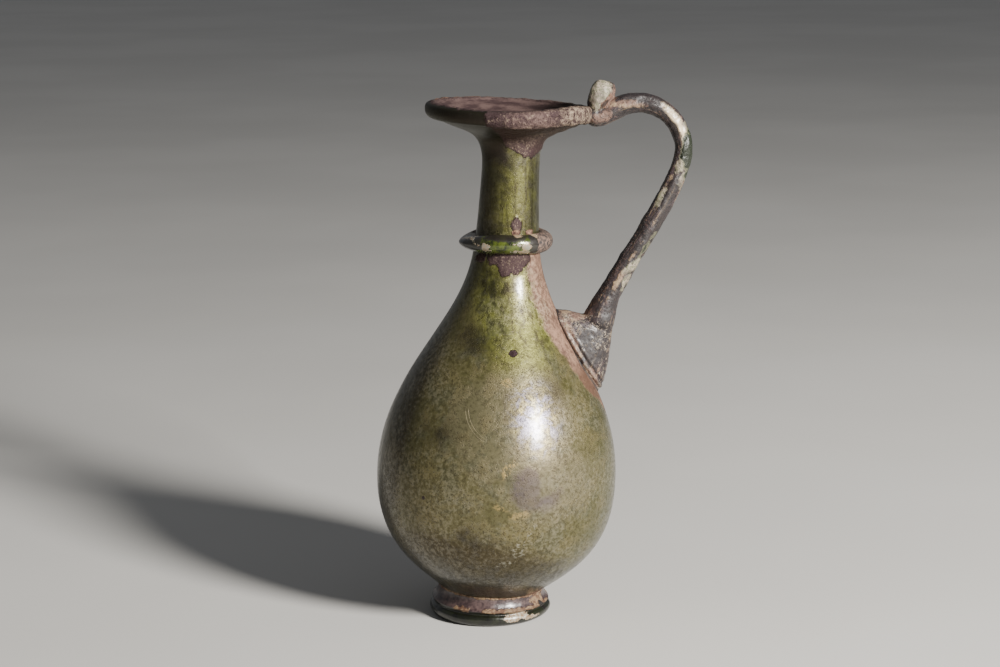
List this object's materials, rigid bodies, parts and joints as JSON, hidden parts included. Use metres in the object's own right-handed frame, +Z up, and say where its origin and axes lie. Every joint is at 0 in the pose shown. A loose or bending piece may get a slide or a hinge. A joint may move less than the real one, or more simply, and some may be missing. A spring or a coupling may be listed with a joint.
{
  "type": "glass jug",
  "caption": "Ancient blown glass jug with a pear-shaped body, narrow neck, funnel mouth, applied foot and neck rings, and one tall rod handle.",
  "frame": {"origin": "on the table, below the middle of the whole jug's bounding box", "axes": "+Z up out of the mouth, +X towards the handle"},
  "size_m": [0.1224, 0.0936, 0.2094],
  "materials": {
    "body_glass": "weathered olive-green blown glass, nearly opaque, dull gloss with fine dark speckle",
    "trail_glass": "thick green glass trail with silver and cream flaking weathering",
    "foot_glass": "dark glass under a glossy purple-brown weathering layer, cream along its ridge",
    "handle_glass": "dark green glass almost covered by pitted cream and purple-brown crust"
  },
  "bodies": {
    "root": {"vessel": "body_glass", "neck_ring": "trail_glass", "foot_ring": "foot_glass", "handle": "handle_glass"}
  },
  "joints": []
}
